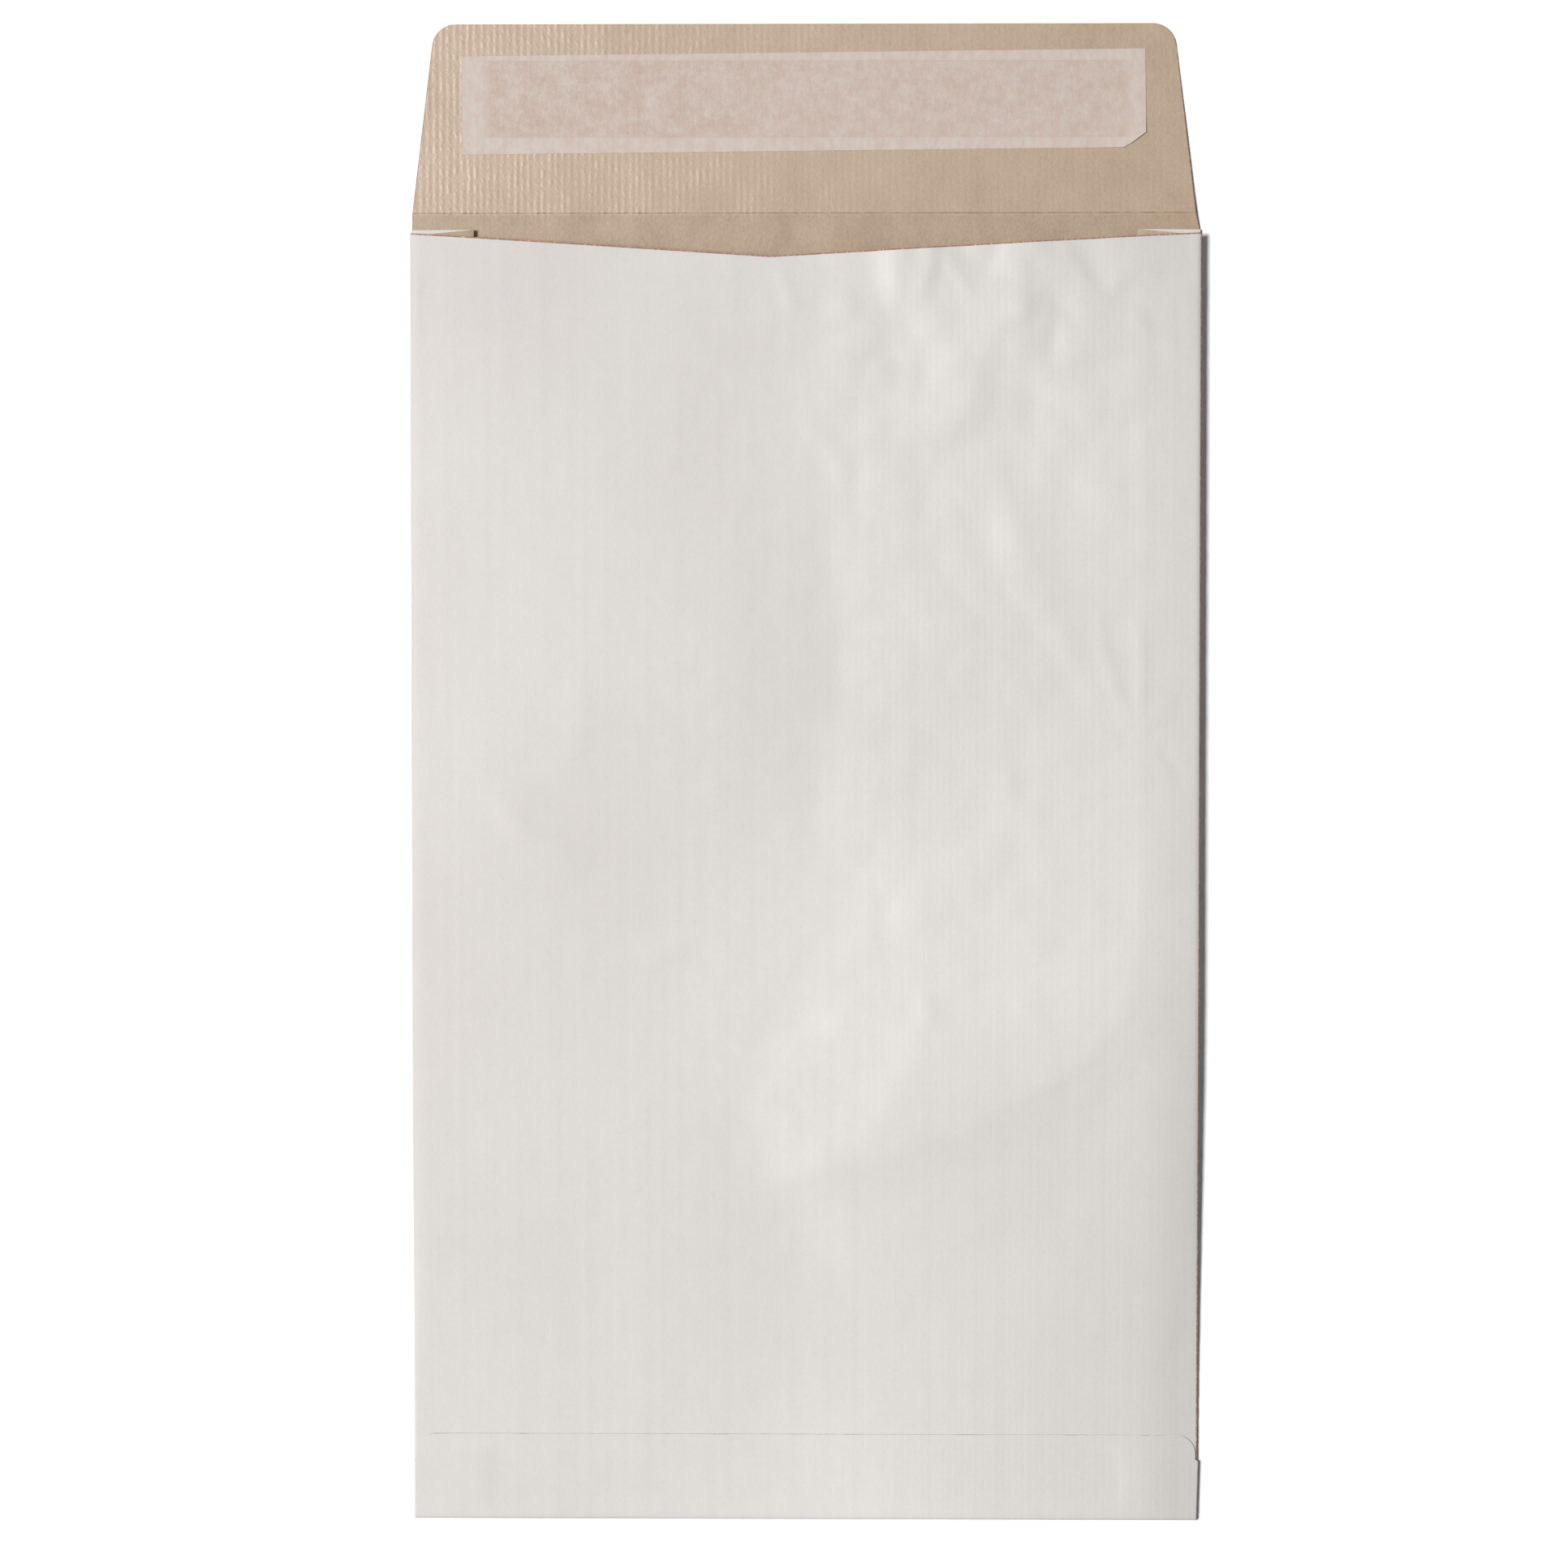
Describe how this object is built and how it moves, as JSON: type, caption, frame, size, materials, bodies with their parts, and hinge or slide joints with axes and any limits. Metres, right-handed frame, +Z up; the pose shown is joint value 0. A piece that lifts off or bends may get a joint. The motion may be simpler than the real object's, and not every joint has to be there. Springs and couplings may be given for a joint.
{
  "type": "tear-resistant mailing bag",
  "caption": "Flat ribbed-kraft mailing bag with side gussets, white outside and brown inside, its closing flap open to show a peel-off adhesive strip.",
  "frame": {"origin": "middle of the whole outline, flap included, on the surface that the bag lies on", "axes": "+Y along the bag towards the open flap's edge, +Z up out of the front panel, +X across the bag to the side with the long seam"},
  "size_m": [0.2512, 0.476, 0.0087],
  "materials": {
    "two_tone_kraft": "ribbed kraft with fibre reinforcement, satin white outside and matt brown inside",
    "paper_glue": "dried paper glue, hidden between two sheets",
    "flap_adhesive": "tacky clear pressure-sensitive adhesive",
    "release_liner": "thin translucent silicone-coated paper"
  },
  "bodies": {
    "root": {"bag": "two_tone_kraft", "seam_glue": "paper_glue", "bottom_glue": "paper_glue", "flap_adhesive": "flap_adhesive", "release_liner": "release_liner"}
  },
  "joints": []
}
